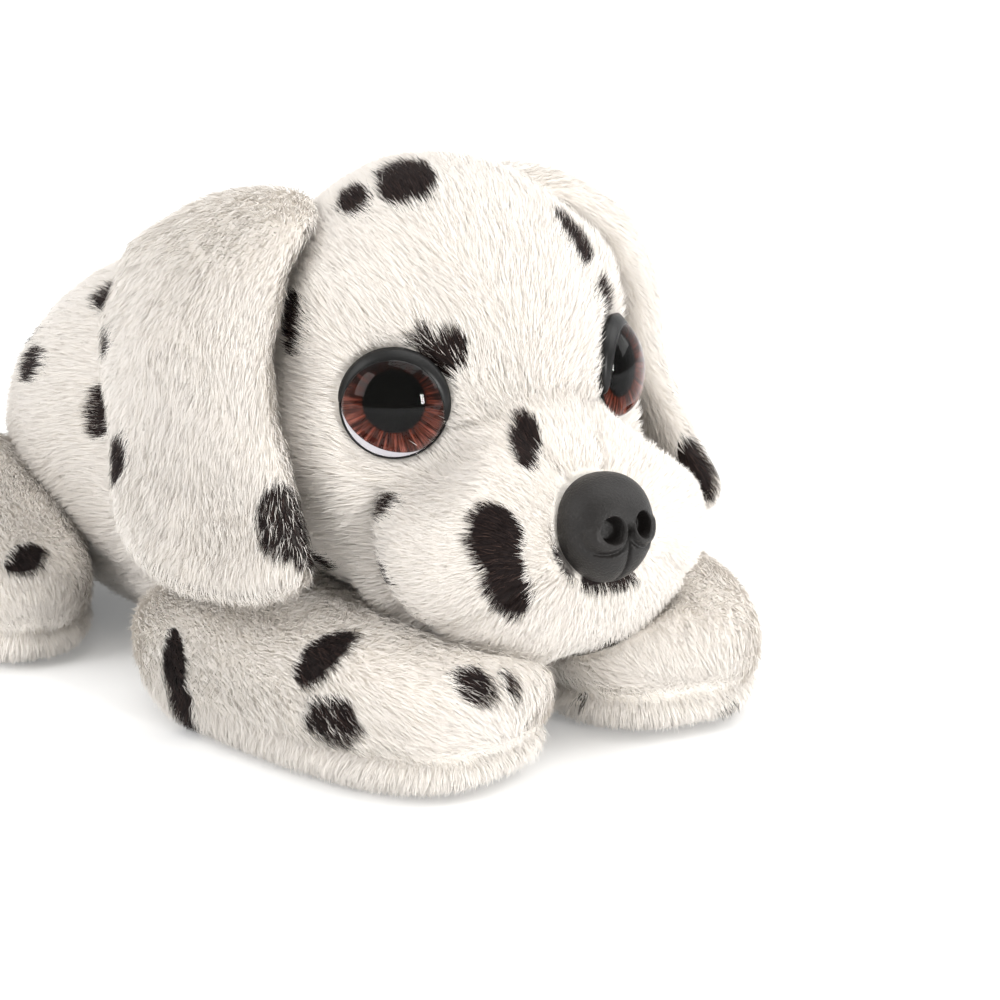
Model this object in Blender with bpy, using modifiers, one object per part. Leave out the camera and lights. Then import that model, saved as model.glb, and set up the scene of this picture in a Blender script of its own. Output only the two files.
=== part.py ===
"""A plush spotted puppy that lies on its belly, made of sewn panels, stuffing and safety fittings.

Metres, +Z up, the nose towards -Y, the puppy's left at +X. The floor is at z = 0, and the
origin is on the belly's flat underside, midway between the fore and hind legs.
"""

import math

import bmesh
import bpy
import numpy as np
from mathutils import Matrix, Vector

MM = 0.001

# Plush and clearances, in millimetres.
PILE_CLOTH = 2.0  # backing and pressed pile of one sewn panel
SEAM_GAP = 2.2  # between the edges of two neighbouring panels
LOOSE = 2.4  # between a panel's inside and the stuffing
BLEND = 9.0  # how sharply the lobes of one form meet
HEAD_LOOSE = 5.0  # more room inside the head, for the flat seats
HEAD_CLEARANCE = 4.6  # between the head and the legs that it can nod onto
BODY_CLEARANCE = 2.2  # between the body and a leg
HEAD_NODS = (0.0, 5.0, 10.0, 15.0)  # degrees of nod that the legs are kept clear of

# Soft forms: each is a few ellipsoid lobes (centre, radii) seen from one inner point.
SKULL_CENTRE = (0.0, -80.0, 96.0)  # the head nods about this point
HEAD = {
    "heart": (0.0, -108.0, 65.0),
    "lobes": [
        ((0.0, -80.0, 100.0), (51.0, 49.5, 53.0)),
        ((0.0, -125.0, 60.0), (40.0, 31.0, 35.0)),
        ((15.0, -122.0, 53.0), (32.0, 33.0, 31.0)),
        ((-15.0, -122.0, 53.0), (32.0, 33.0, 31.0)),
        ((18.0, -93.0, 68.0), (37.0, 34.0, 33.0)),
        ((-18.0, -93.0, 68.0), (37.0, 34.0, 33.0)),
    ],
}
TORSO = {
    "heart": (0.0, -2.0, 48.0),
    "lobes": [
        ((0.0, 46.0, 50.0), (64.0, 77.0, 58.0)),
        ((0.0, 14.0, 46.0), (62.0, 64.0, 53.0)),
        ((0.0, -10.0, 40.0), (60.0, 42.0, 46.0)),
        ((0.0, -24.0, 36.0), (26.0, 44.0, 37.0)),
    ],
}

NECK_RADIUS = 54.5  # the body keeps this far from the skull's centre

# Head seams, in degrees: turn goes round the muzzle from the top, tip goes from nose to neck.
BRIDGE_TURN = 27.0
CHEEK_TURN = 122.0
NOSE_TIP = 5.5
BROW_TIP = 60.0
NECK_TIP = 146.0

# Torso seams, in degrees: turn goes round the back from the top, tip goes from neck to tail.
FLANK_TURN = 112.0
COLLAR_TIP = 42.0
RUMP_TIP = 172.0

# Eyes and nose.
EYE_TOWARDS = (32.5, -114.5, 90.5)
EYE_YAW = 37.0
EYE_PITCH = 6.0
EYE_RADIUS = 14.0
EYE_DOME = 8.5
NOSE_TOWARDS = (0.0, -155.5, 65.0)
SEAT_SINK = 3.2  # how far a flat seat is pressed into the plush
SEAT_MARGIN = (4.0, 3.0)  # flat plush round an eye and round the nose
SEAT_SLOPE = 0.4  # how steeply the plush rises round a seat
NOSE_PITCH = 10.0
NOSE_SIZE = (13.5, 14.5, 11.0)
POST_RADIUS = 3.0
POST_LENGTH = 15.0
WASHER_RADIUS = 9.0
POST_ROOM = 0.6  # round a post, in the plush
WASHER_ROOM = 1.2  # round a washer, in the stuffing
FIT_GAP = 0.35
BACK_HEIGHT = 1.4  # an eye's black back, over its seat
LENS_BASE = 1.8
LENS_WALL = 1.3
LID_SWEEP = (14.0, 158.0)  # degrees the lid leans outwards, and how far it goes round
LID_LIFT = (6.0, 34.0)  # degrees up the dome, at the lid's foot and how much further
LID_GAP = 2.1
LID_WALL = 1.4

# Legs, in plan: middle, slant in degrees, half length; then the half widths and the heights
# at the body end and at the paw.
FORELEG = {
    "centre": (47.0, -97.5),
    "slant": -17.0,
    "half_length": 66.0,
    "half_width": (27.0, 37.5),
    "top": (42.0, 43.0),
}
HINDLEG = {
    "centre": (80.0, 52.0),
    "slant": 9.0,
    "half_length": 60.0,
    "half_width": (29.0, 26.0),
    "top": (62.0, 38.0),
}
SOLE_HEIGHT = 11.0
LEG_WAIST = 20.0  # height of the leg's widest line
PLAN_POWER = 0.72
EDGE_POWER = 0.75
SOLE_POWER = 0.35
LEG_CELLS = (22, 14)
SEAM_ROW = 8  # rows from the top of the leg down to the sole seam

# Ears hang from a sewn root, down the cheek and out over the foreleg: (x, y, z, half width).
# The ear toes in more and more on its way down.
EAR_LINE = [
    (31.0, -61.0, 143.0, 19.0),
    (46.0, -60.0, 141.0, 28.0),
    (60.0, -59.0, 129.0, 35.0),
    (68.0, -60.0, 109.0, 37.0),
    (70.5, -62.0, 90.0, 38.0),
    (73.0, -70.0, 72.0, 41.0),
    (76.0, -81.0, 57.0, 41.0),
    (82.0, -86.0, 47.0, 26.0),
]
EAR_TOE = 8.0
EAR_CURL = 3.0  # how far the long edges bend in towards the head
EAR_CLOTH = 3.0
EAR_FLEECE = 1.3  # between the outer panel and the lining
EAR_CLEARANCE = {"outer": 4.6, "lining": 0.8}  # over the head, beside the cloth

# Tail.
TAIL_LINE = [
    (0.0, 122.0, 50.0, 12.5),
    (0.0, 146.0, 35.0, 12.0),
    (0.0, 168.0, 21.0, 10.5),
    (0.0, 184.0, 14.0, 8.0),
]

# The bag of pellets in the belly.
POUCH_MIDDLE = (0.0, 34.0, 14.0)
POUCH_RADII = (27.0, 40.0, 11.0)
POUCH_FLOOR = 2.8

# Surface colours, as red, green, blue and roughness.
CREAM_PLUSH = (0.86, 0.84, 0.80, 0.95)
WHITE_FILL = (0.80, 0.80, 0.80, 0.95)
BLACK_MOULD = (0.015, 0.014, 0.014, 0.45)
BROWN_IRIS = (0.20, 0.06, 0.045, 0.35)
CLEAR_DOME = (0.80, 0.80, 0.82, 0.05)
WASHER_WHITE = (0.75, 0.75, 0.73, 0.50)
BEAN_CLOTH = (0.55, 0.55, 0.50, 0.90)


def clear_scene():
    for thing in list(bpy.data.objects):
        bpy.data.objects.remove(thing, do_unlink=True)


def collection(name):
    made = bpy.data.collections.new(name)
    bpy.context.scene.collection.children.link(made)
    return made


def material(name, colour):
    made = bpy.data.materials.new(name)
    made.use_nodes = True
    shader = made.node_tree.nodes["Principled BSDF"]
    shader.inputs["Base Color"].default_value = (*colour[:3], 1.0)
    shader.inputs["Roughness"].default_value = colour[3]
    made.diffuse_color = (*colour[:3], 1.0)
    return made


def add_piece(name, bm, colour, place):
    """Turns a bmesh in metres into a named, smooth-shaded object with its own material."""
    mesh = bpy.data.meshes.new(name)
    bm.to_mesh(mesh)
    bm.free()
    mesh.shade_smooth()
    mesh.set_sharp_from_angle(angle=math.radians(40))
    piece = bpy.data.objects.new(name, mesh)
    piece.data.materials.append(material(name, colour))
    place.objects.link(piece)
    return piece


def thicken(piece, thickness):
    """Makes a closed shell from an open surface, growing inwards."""
    shell = piece.modifiers.new("Cloth", "SOLIDIFY")
    shell.thickness = thickness * MM
    shell.offset = -1.0


def face_out(bm):
    """Turns a closed surface the right way out, also where it was mirrored."""
    if bm.calc_volume(signed=True) < 0.0:
        bmesh.ops.reverse_faces(bm, faces=bm.faces)


def face_away(bm, centre):
    """Turns an open surface to face away from a point."""
    bm.normal_update()
    if sum((f.calc_center_median() - centre).dot(f.normal) for f in bm.faces) < 0.0:
        bmesh.ops.reverse_faces(bm, faces=bm.faces)


def cut(piece, cutter):
    opening = piece.modifiers.new("Opening", "BOOLEAN")
    opening.operation = "DIFFERENCE"
    opening.object = cutter


def stand_on(piece, centre, out):
    """Moves a piece made about its own +Z axis to a seat."""
    turn = Vector((0, 0, 1)).rotation_difference(out)
    piece.matrix_world = Matrix.Translation(centre * MM) @ turn.to_matrix().to_4x4()


def between(ends, part):
    return ends[0] + (ends[1] - ends[0]) * part


def signed_power(value, power):
    return math.copysign(abs(value) ** power, value)


def side_name(side):
    return "left" if side > 0 else "right"


def reach(form, direction):
    """How far the form's surface is from its inner point, in one direction."""
    total = 0.0
    for centre, radii in form["lobes"]:
        start = [(form["heart"][k] - centre[k]) / radii[k] for k in range(3)]
        step = [direction[k] / radii[k] for k in range(3)]
        a = sum(s * s for s in step)
        b = sum(start[k] * step[k] for k in range(3))
        c = sum(s * s for s in start) - 1.0
        total += ((-b + math.sqrt(b * b - a * c)) / a) ** BLEND
    return total ** (1.0 / BLEND)


def inside(form, point, clearance):
    """True where a point is nearer to the form than the clearance."""
    away = Vector(point) - Vector(form["heart"])
    far = away.length
    if far < 1.0:
        return True
    return far < reach(form, away / far) + clearance


def round_y(turn, tip):
    """A direction from its angle about the Y axis and its angle from -Y, in degrees."""
    turn = math.radians(turn)
    tip = math.radians(tip)
    return Vector((math.sin(tip) * math.sin(turn), -math.cos(tip), math.sin(tip) * math.cos(turn)))


def on_head(towards, out):
    """The middle of a flat seat: a little under the head's surface, towards a given point."""
    heart = Vector(HEAD["heart"])
    direction = (Vector(towards) - heart).normalized()
    return heart + direction * reach(HEAD, direction) - out * SEAT_SINK


def seat_frames():
    """(centre, outward direction, radius) of the flat seats under the eyes and the nose."""
    seats = []
    for side in (1, -1):
        yaw = math.radians(EYE_YAW)
        pitch = math.radians(EYE_PITCH)
        level = math.cos(pitch)
        out = Vector((side * math.sin(yaw) * level, -math.cos(yaw) * level, math.sin(pitch)))
        centre = on_head((side * EYE_TOWARDS[0], EYE_TOWARDS[1], EYE_TOWARDS[2]), out)
        seats.append((centre, out, EYE_RADIUS + SEAT_MARGIN[0]))
    pitch = math.radians(NOSE_PITCH)
    out = Vector((0.0, -math.cos(pitch), math.sin(pitch)))
    seats.append((on_head(NOSE_TOWARDS, out), out, NOSE_SIZE[1] + SEAT_MARGIN[1]))
    return seats


SEATS = seat_frames()


def press_seats(point, depth):
    """Moves a point of the head back behind the flat seats of the eyes and the nose."""
    for centre, out, radius in SEATS:
        away = point - centre
        height = away.dot(out)
        allowed = SEAT_SLOPE * max((away - out * height).length - radius, 0.0) - depth
        if height > allowed and away.length < 2.5 * radius:
            point = point - out * (height - allowed)
    return point


def head_point(direction, inset):
    heart = Vector(HEAD["heart"])
    point = heart + direction * (reach(HEAD, direction) - inset)
    return press_seats(point, FIT_GAP + inset)


def torso_point(direction, inset):
    heart = Vector(TORSO["heart"])
    point = heart + direction * (reach(TORSO, direction) - inset)
    for _ in range(200):
        away = point - Vector(SKULL_CENTRE)
        if away.length > NECK_RADIUS + inset:
            break
        point = point - direction * 0.5
    point.z = max(point.z, inset)
    return point


def panel(name, to_point, heart, turns, tips, cells, place):
    """A sewn panel: a grid laid over a soft form between two seams each way, then thickened."""
    bm = bmesh.new()
    bmesh.ops.create_grid(bm, x_segments=cells[0], y_segments=cells[1], size=0.5)
    for vert in bm.verts:
        turn = turns[0] + (turns[1] - turns[0]) * (vert.co.x + 0.5)
        tip = tips[0] + (tips[1] - tips[0]) * (vert.co.y + 0.5)
        direction = round_y(turn, tip)
        around = max(math.sin(math.radians(tip)), 0.2)
        middle = to_point(direction, 0.0)
        span = (middle - Vector(heart)).length
        trim = math.degrees(0.5 * SEAM_GAP / span)
        if abs(vert.co.x) > 0.499:
            turn -= math.copysign(trim / around, vert.co.x * (turns[1] - turns[0]))
        if abs(vert.co.y) > 0.499:
            tip -= math.copysign(trim, vert.co.y)
        vert.co = to_point(round_y(turn, tip), 0.0) * MM
    face_away(bm, Vector(heart) * MM)
    piece = add_piece(name, bm, CREAM_PLUSH, place)
    thicken(piece, PILE_CLOTH)
    return piece


def filling(name, to_point, cells, inset, colour, place):
    """The stuffing: a closed ball drawn out to just inside the sewn cover."""
    bm = bmesh.new()
    bmesh.ops.create_uvsphere(bm, u_segments=cells[0], v_segments=cells[1], radius=1.0)
    for vert in bm.verts:
        vert.co = to_point(vert.co.normalized(), inset) * MM
    face_out(bm)
    return add_piece(name, bm, colour, place)


def post_cutter(name, centre, out, radius, depth, height, cutters):
    """A round cutter from a depth behind a seat to a height in front of it."""
    bm = bmesh.new()
    bmesh.ops.create_cone(
        bm,
        cap_ends=True,
        segments=16,
        radius1=radius * MM,
        radius2=radius * MM,
        depth=(depth + height) * MM,
    )
    cutter = add_piece(name, bm, WASHER_WHITE, cutters)
    stand_on(cutter, centre + out * (height - depth) * 0.5, out)
    cutter.hide_render = True
    cutter.display_type = "WIRE"
    return cutter


def make_head(parts, cutters):
    heart = HEAD["heart"]
    bridge = (-BRIDGE_TURN, BRIDGE_TURN)
    panel("muzzle_bridge_panel", head_point, heart, bridge, (NOSE_TIP, BROW_TIP), (6, 7), parts)
    panel("crown_panel", head_point, heart, bridge, (BROW_TIP, NECK_TIP), (6, 9), parts)
    chin = (CHEEK_TURN, 360.0 - CHEEK_TURN)
    panel("chin_panel", head_point, heart, chin, (NOSE_TIP, NECK_TIP), (9, 14), parts)
    faces = {}
    for side in (1, -1):
        turns = (side * BRIDGE_TURN, side * CHEEK_TURN)
        name = side_name(side)
        panel(f"muzzle_side_{name}", head_point, heart, turns, (NOSE_TIP, BROW_TIP), (9, 7), parts)
        tips = (BROW_TIP, NECK_TIP)
        faces[side] = panel(f"face_side_{name}", head_point, heart, turns, tips, (10, 10), parts)
    inset = PILE_CLOTH + LOOSE + HEAD_LOOSE
    stuffing = filling("head_stuffing", head_point, (30, 20), inset, WHITE_FILL, parts)
    for side, (centre, out, _) in zip((1, -1, 0), SEATS):
        name = side_name(side) if side else "nose"
        if side:
            hole_size = (POST_RADIUS + POST_ROOM, 6.0, 3.0)
            cut(faces[side], post_cutter(f"post_hole_{name}", centre, out, *hole_size, cutters))
        pocket_size = (WASHER_RADIUS + WASHER_ROOM, POST_LENGTH + 3.0, 4.0)
        cut(stuffing, post_cutter(f"washer_pocket_{name}", centre, out, *pocket_size, cutters))


def turned(name, profile, centre, out, colour, segments, place):
    """A turned piece: a closed profile of (radius, height) swept round an outward axis."""
    bm = bmesh.new()
    rings = []
    for radius, height in profile:
        ring = []
        for k in range(segments if radius > 0.0 else 1):
            angle = 2.0 * math.pi * k / segments
            spot = Vector((radius * math.cos(angle), radius * math.sin(angle), height))
            ring.append(bm.verts.new(spot * MM))
        rings.append(ring)
    for low, high in zip(rings, rings[1:] + (rings[:1] if len(rings[0]) > 1 else [])):
        for k in range(segments):
            after = (k + 1) % segments
            corners = [low[k % len(low)], low[after % len(low)]]
            corners += [high[after % len(high)], high[k % len(high)]]
            corners = list(dict.fromkeys(corners))
            if len(corners) > 2:
                bm.faces.new(corners)
    bmesh.ops.recalc_face_normals(bm, faces=bm.faces)
    stand_on(add_piece(name, bm, colour, place), centre, out)


def make_eye(side, centre, out, parts):
    name = side_name(side)
    rim = EYE_RADIUS
    cup = [(0.0, -POST_LENGTH), (POST_RADIUS, -POST_LENGTH), (POST_RADIUS, 0.0), (rim - 1.2, 0.0)]
    cup += [(rim - 1.2, BACK_HEIGHT), (0.0, BACK_HEIGHT)]
    turned(f"eye_back_{name}", cup, centre, out, BLACK_MOULD, 20, parts)
    print_base = BACK_HEIGHT + FIT_GAP
    iris = [(0.0, print_base), (rim - 1.8, print_base), (rim - 1.8, 2.4), (0.0, 2.9)]
    turned(f"iris_disc_{name}", iris, centre, out, BROWN_IRIS, 20, parts)
    lens_dome(f"eye_lens_{name}", rim, centre, out, parts)
    washer(f"eye_washer_{name}", centre, out, parts)
    eyelid(f"eyelid_{name}", side, centre, out, parts)


def lens_dome(name, rim, centre, out, parts):
    """The clear dome: an open cap made solid, so that its hollow is open at the back."""
    bm = bmesh.new()
    bmesh.ops.create_uvsphere(bm, u_segments=20, v_segments=12, radius=1.0)
    low = [v for v in bm.verts if v.co.z < -0.01]
    bmesh.ops.delete(bm, geom=low, context="VERTS")
    for vert in bm.verts:
        vert.co = Vector((vert.co.x * rim, vert.co.y * rim, vert.co.z * EYE_DOME + LENS_BASE)) * MM
    bm.normal_update()
    piece = add_piece(name, bm, CLEAR_DOME, parts)
    thicken(piece, LENS_WALL)
    stand_on(piece, centre, out)


def washer(name, centre, out, parts):
    top = -(PILE_CLOTH + 2.0 * FIT_GAP + 1.2)
    bore = POST_RADIUS + 0.3
    ring = [(bore, top), (WASHER_RADIUS, top), (WASHER_RADIUS, top - 1.6), (bore, top - 1.6)]
    turned(name, ring, centre, out, WASHER_WHITE, 20, parts)


def eyelid(name, side, centre, out, parts):
    """A black rim that hoods the upper part of the dome."""
    bm = bmesh.new()
    bmesh.ops.create_grid(bm, x_segments=14, y_segments=3, size=0.5)
    across = Vector((0, 0, 1)).cross(out).normalized()
    up = out.cross(across).normalized()
    for vert in bm.verts:
        sweep = math.radians(90.0 + side * LID_SWEEP[0] + LID_SWEEP[1] * vert.co.x)
        deep = (vert.co.y + 0.5) * (1.0 - (1.85 * vert.co.x) ** 2 * 0.85)
        lift = math.radians(LID_LIFT[0] + LID_LIFT[1] * deep)
        ring = (EYE_RADIUS + LID_GAP) * math.cos(lift)
        height = (EYE_DOME + LID_GAP) * math.sin(lift) + LENS_BASE
        spoke = across * math.cos(sweep) + up * math.sin(sweep)
        vert.co = (centre + spoke * ring + out * height) * MM
    face_away(bm, centre * MM)
    thicken(add_piece(name, bm, BLACK_MOULD, parts), LID_WALL)


def make_nose(centre, out, parts):
    """A moulded nose: a rounded dome, flat behind, on a post with a washer."""
    bm = bmesh.new()
    bmesh.ops.create_uvsphere(bm, u_segments=24, v_segments=16, radius=1.0)
    wide, high, deep = NOSE_SIZE
    for vert in bm.verts:
        narrow = 1.0 - 0.16 * max(-vert.co.y, 0.0)
        forward = max(vert.co.z * deep, -1.0) + 1.4
        vert.co = Vector((vert.co.x * wide * narrow, vert.co.y * high, forward)) * MM
    bmesh.ops.create_cone(
        bm,
        cap_ends=True,
        segments=16,
        radius1=POST_RADIUS * MM,
        radius2=POST_RADIUS * MM,
        depth=(POST_LENGTH + 1.0) * MM,
        matrix=Matrix.Translation((0.0, 0.0, -0.5 * (POST_LENGTH - 1.0) * MM)),
    )
    piece = add_piece("nose_moulding", bm, BLACK_MOULD, parts)
    join = piece.modifiers.new("One body", "REMESH")
    join.mode = "VOXEL"
    join.voxel_size = 1.15 * MM
    thin = piece.modifiers.new("Coarser", "DECIMATE")
    thin.ratio = 0.18
    stand_on(piece, centre, out)
    washer("nose_washer", centre, out, parts)


def make_torso(parts, cutters):
    heart = TORSO["heart"]
    tips = (COLLAR_TIP, RUMP_TIP)
    for side in (1, -1):
        turns = (side * 0.0, side * FLANK_TURN)
        panel(f"back_panel_{side_name(side)}", torso_point, heart, turns, tips, (10, 14), parts)
    under = (FLANK_TURN, 360.0 - FLANK_TURN)
    panel("belly_panel", torso_point, heart, under, tips, (12, 14), parts)
    inset = PILE_CLOTH + LOOSE
    stuffing = filling("torso_stuffing", torso_point, (24, 14), inset, WHITE_FILL, parts)
    bean_pouch("pellet_pouch", 0.0, parts)
    room = bean_pouch("pouch_room", 1.0, cutters)
    room.hide_render = True
    room.display_type = "WIRE"
    cut(stuffing, room)


def bean_pouch(name, grow, place):
    """A flat bag of plastic pellets that lies on the belly's inside and steadies the toy."""
    bm = bmesh.new()
    bmesh.ops.create_uvsphere(bm, u_segments=18, v_segments=10, radius=1.0)
    low = POUCH_FLOOR - grow * 4.0
    for vert in bm.verts:
        x, y, z = (vert.co[k] * (POUCH_RADII[k] + grow) + POUCH_MIDDLE[k] for k in range(3))
        vert.co = Vector((x, y, max(z, low))) * MM
    face_out(bm)
    return add_piece(name, bm, BEAN_CLOTH, place)


def clear_of_head(point, clearance):
    """True where the head misses a point, however far it nods."""
    pivot = Vector(SKULL_CENTRE)
    for nod in HEAD_NODS:
        back = Matrix.Rotation(math.radians(nod), 3, "X") @ (point - pivot) + pivot
        if inside(HEAD, back, clearance):
            return False
    return True


def leg_point(leg, side, direction, inset, fore):
    """A point of a leg: round in plan, domed above and flat below, dented by head and torso."""
    flat = math.hypot(direction.x, direction.y)
    cos_plan = direction.x / flat if flat > 1e-6 else 0.0
    sin_plan = direction.y / flat if flat > 1e-6 else 0.0
    rise = direction.z
    ring = abs(flat) ** (EDGE_POWER if rise > 0.0 else SOLE_POWER)
    along = signed_power(sin_plan, PLAN_POWER) * ring
    across = signed_power(cos_plan, PLAN_POWER) * ring
    to_paw = 0.5 * (1.0 - along)
    width = between(leg["half_width"], to_paw) - inset
    top = between(leg["top"], to_paw) - inset
    if rise > 0.0:
        z = LEG_WAIST + (top - LEG_WAIST) * abs(rise) ** EDGE_POWER
    else:
        z = max(inset, LEG_WAIST - (LEG_WAIST + 2.0) * abs(rise) ** EDGE_POWER)
    lean = math.radians(leg["slant"])
    y = along * (leg["half_length"] - inset)
    x = across * width
    turned_x = x * math.cos(lean) - y * math.sin(lean)
    turned_y = x * math.sin(lean) + y * math.cos(lean)
    point = Vector((leg["centre"][0] + turned_x, leg["centre"][1] + turned_y, z))
    if fore:
        while point.z > inset and not clear_of_head(point, HEAD_CLEARANCE + inset):
            point.z = max(point.z - 0.5, inset)
    push = Vector((0.3, -0.4, 0.0)) if fore else Vector((0.5, 0.0, 0.0))
    while inside(TORSO, point, BODY_CLEARANCE + inset):
        point += push
    point.x *= side
    return point


def leg_shell(name, leg, side, fore, upper, parts):
    """The upper cover or the sole of a leg, cut from the leg's form at the sole seam."""
    bm = bmesh.new()
    bmesh.ops.create_uvsphere(bm, u_segments=LEG_CELLS[0], v_segments=LEG_CELLS[1], radius=1.0)
    seam_z = math.cos(math.pi * SEAM_ROW / LEG_CELLS[1])
    drop = [v for v in bm.verts if (v.co.z < seam_z - 0.01 if upper else v.co.z > seam_z + 0.01)]
    bmesh.ops.delete(bm, geom=drop, context="VERTS")
    for vert in bm.verts:
        on_seam = abs(vert.co.z - seam_z) < 0.01
        vert.co = leg_point(leg, side, vert.co.normalized(), 0.0, fore)
        if on_seam:
            vert.co.z = min(vert.co.z, SOLE_HEIGHT) + (0.5 if upper else -1.5) * SEAM_GAP
        vert.co *= MM
    face_away(bm, Vector((side * leg["centre"][0], leg["centre"][1], SOLE_HEIGHT)) * MM)
    thicken(add_piece(name, bm, CREAM_PLUSH, parts), PILE_CLOTH)


def make_leg(kind, leg, side, parts):
    fore = kind == "foreleg"
    name = f"{kind}_{side_name(side)}"
    leg_shell(f"{name}_cover", leg, side, fore, True, parts)
    leg_shell(f"{name}_sole", leg, side, fore, False, parts)
    inset = PILE_CLOTH + LOOSE + (2.0 if fore else 0.6)

    def to_point(direction, depth):
        return leg_point(leg, side, direction, depth, fore)

    filling(f"{name}_stuffing", to_point, (16, 10), inset, WHITE_FILL, parts)


def along_line(line, place):
    """Smooth values along a list of stations, for a place from 0 to 1."""
    stations = np.array(line)
    steps = np.linspace(0.0, 1.0, len(line))
    width = steps[1]
    weights = np.exp(-(((place - steps) / (0.62 * width)) ** 2))
    plain = np.array([np.interp(place, steps, column) for column in stations.T])
    soft = (weights[:, None] * stations).sum(axis=0) / weights.sum()
    return 0.5 * (plain + soft)


def make_ear(side, parts):
    """An ear: an outer panel and a lining that hang side by side from the root."""
    for layer, depth in (("lining", EAR_CLOTH + EAR_FLEECE), ("outer", 0.0)):
        bm = bmesh.new()
        bmesh.ops.create_grid(bm, x_segments=8, y_segments=14, size=0.5)
        for vert in bm.verts:
            down = vert.co.y + 0.5
            x, y, z, half = along_line(EAR_LINE, down)
            before = along_line(EAR_LINE, max(down - 0.05, 0.0))
            after = along_line(EAR_LINE, min(down + 0.05, 1.0))
            slope = Vector((after[0] - before[0], 0.0, after[2] - before[2])).normalized()
            outward = Vector((-slope.z, 0.0, slope.x))
            curl = -EAR_CURL * (2.0 * vert.co.x) ** 2
            toe = math.radians(EAR_TOE * down)
            aside = 2.0 * half * vert.co.x
            spot = Vector((x + aside * math.sin(toe), y + aside * math.cos(toe), z))
            spot += outward * (curl - depth)
            while inside(HEAD, spot, EAR_CLOTH + EAR_CLEARANCE[layer]):
                spot += outward * 0.5
            vert.co = Vector((side * spot.x, spot.y, spot.z)) * MM
        face_away(bm, Vector(SKULL_CENTRE) * MM)
        name = f"ear_{side_name(side)}_{layer}"
        thicken(add_piece(name, bm, CREAM_PLUSH, parts), EAR_CLOTH)


def make_tail(parts):
    """A round tapering tail: an open sleeve, and the stuffing in it."""
    for name, inset in (("tail_cover", 0.0), ("tail_stuffing", PILE_CLOTH + 1.4)):
        bm = bmesh.new()
        bmesh.ops.create_uvsphere(bm, u_segments=14, v_segments=12, radius=1.0)
        if inset == 0.0:
            mouth = [v for v in bm.verts if v.co.z > 0.99]
            bmesh.ops.delete(bm, geom=mouth, context="VERTS")
        for vert in bm.verts:
            down = math.acos(max(-1.0, min(1.0, vert.co.z))) / math.pi
            x, y, z, radius = along_line(TAIL_LINE, down)
            swell = math.sin(math.pi * down) ** 0.38
            flat = max(math.hypot(vert.co.x, vert.co.y), 1e-6)
            radius = max(radius * swell - inset, 0.0)
            sideways = vert.co.x / flat * radius
            upward = vert.co.y / flat * radius
            end = math.cos(math.pi * down) * (4.0 - inset)
            z = max(z + 0.89 * upward, inset)
            vert.co = Vector((x + sideways, y - end + 0.45 * upward, z)) * MM
        face_out(bm)
        piece = add_piece(name, bm, CREAM_PLUSH if inset == 0.0 else WHITE_FILL, parts)
        if inset == 0.0:
            thicken(piece, PILE_CLOTH)


def build():
    clear_scene()
    parts = collection("plush_puppy")
    cutters = collection("cutters")
    make_head(parts, cutters)
    for side, (centre, out, _) in zip((1, -1, 0), SEATS):
        if side:
            make_eye(side, centre, out, parts)
        else:
            make_nose(centre, out, parts)
    make_torso(parts, cutters)
    for side in (1, -1):
        make_ear(side, parts)
        make_leg("foreleg", FORELEG, side, parts)
        make_leg("hindleg", HINDLEG, side, parts)
    make_tail(parts)


build()
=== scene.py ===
"""The looks of the plush spotted puppy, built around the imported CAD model.

Lengths are in millimetres until a mesh is made. The puppy's nose points to -Y and its left is +X.
"""

import math

import bmesh
import bpy
import numpy as np
from mathutils import Matrix, Vector


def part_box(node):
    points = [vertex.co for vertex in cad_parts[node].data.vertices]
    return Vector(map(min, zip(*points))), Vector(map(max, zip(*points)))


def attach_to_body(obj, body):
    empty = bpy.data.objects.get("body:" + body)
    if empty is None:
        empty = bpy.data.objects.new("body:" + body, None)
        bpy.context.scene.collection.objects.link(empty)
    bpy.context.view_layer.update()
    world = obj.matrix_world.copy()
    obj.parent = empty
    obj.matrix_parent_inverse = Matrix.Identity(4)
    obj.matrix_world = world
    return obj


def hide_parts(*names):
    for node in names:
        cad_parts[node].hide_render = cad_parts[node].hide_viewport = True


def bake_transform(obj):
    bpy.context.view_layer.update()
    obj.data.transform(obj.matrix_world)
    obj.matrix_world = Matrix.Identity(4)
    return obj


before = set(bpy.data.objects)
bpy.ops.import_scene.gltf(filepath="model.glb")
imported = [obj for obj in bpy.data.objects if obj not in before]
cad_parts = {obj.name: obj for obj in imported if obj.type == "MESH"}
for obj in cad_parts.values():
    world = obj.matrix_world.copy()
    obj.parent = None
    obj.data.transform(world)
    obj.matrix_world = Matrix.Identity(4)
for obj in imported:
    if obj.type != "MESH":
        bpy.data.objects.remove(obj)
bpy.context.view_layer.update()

MM = 0.001
SIDES = {"left": 1.0, "right": -1.0}


# ---------------------------------------------------------------- camera, light and floor

VIEW_AZIMUTH = -36.0
VIEW_ELEVATION = 16.0
VIEW_DISTANCE = 640.0
LENS = 85.0
LOOK_AT = (-1.6, -113.4, 62.0)

# The white sweep lies behind and above the puppy; the room on the near side is dim.
SWEEP_TOWARDS = (0.45, 0.62, 0.64)
SWEEP_FULL = 0.45
SWEEP_TONE = (1.0, 1.0, 1.0, 1.0)
ROOM_TONE = (0.54, 0.53, 0.51, 1.0)

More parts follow.
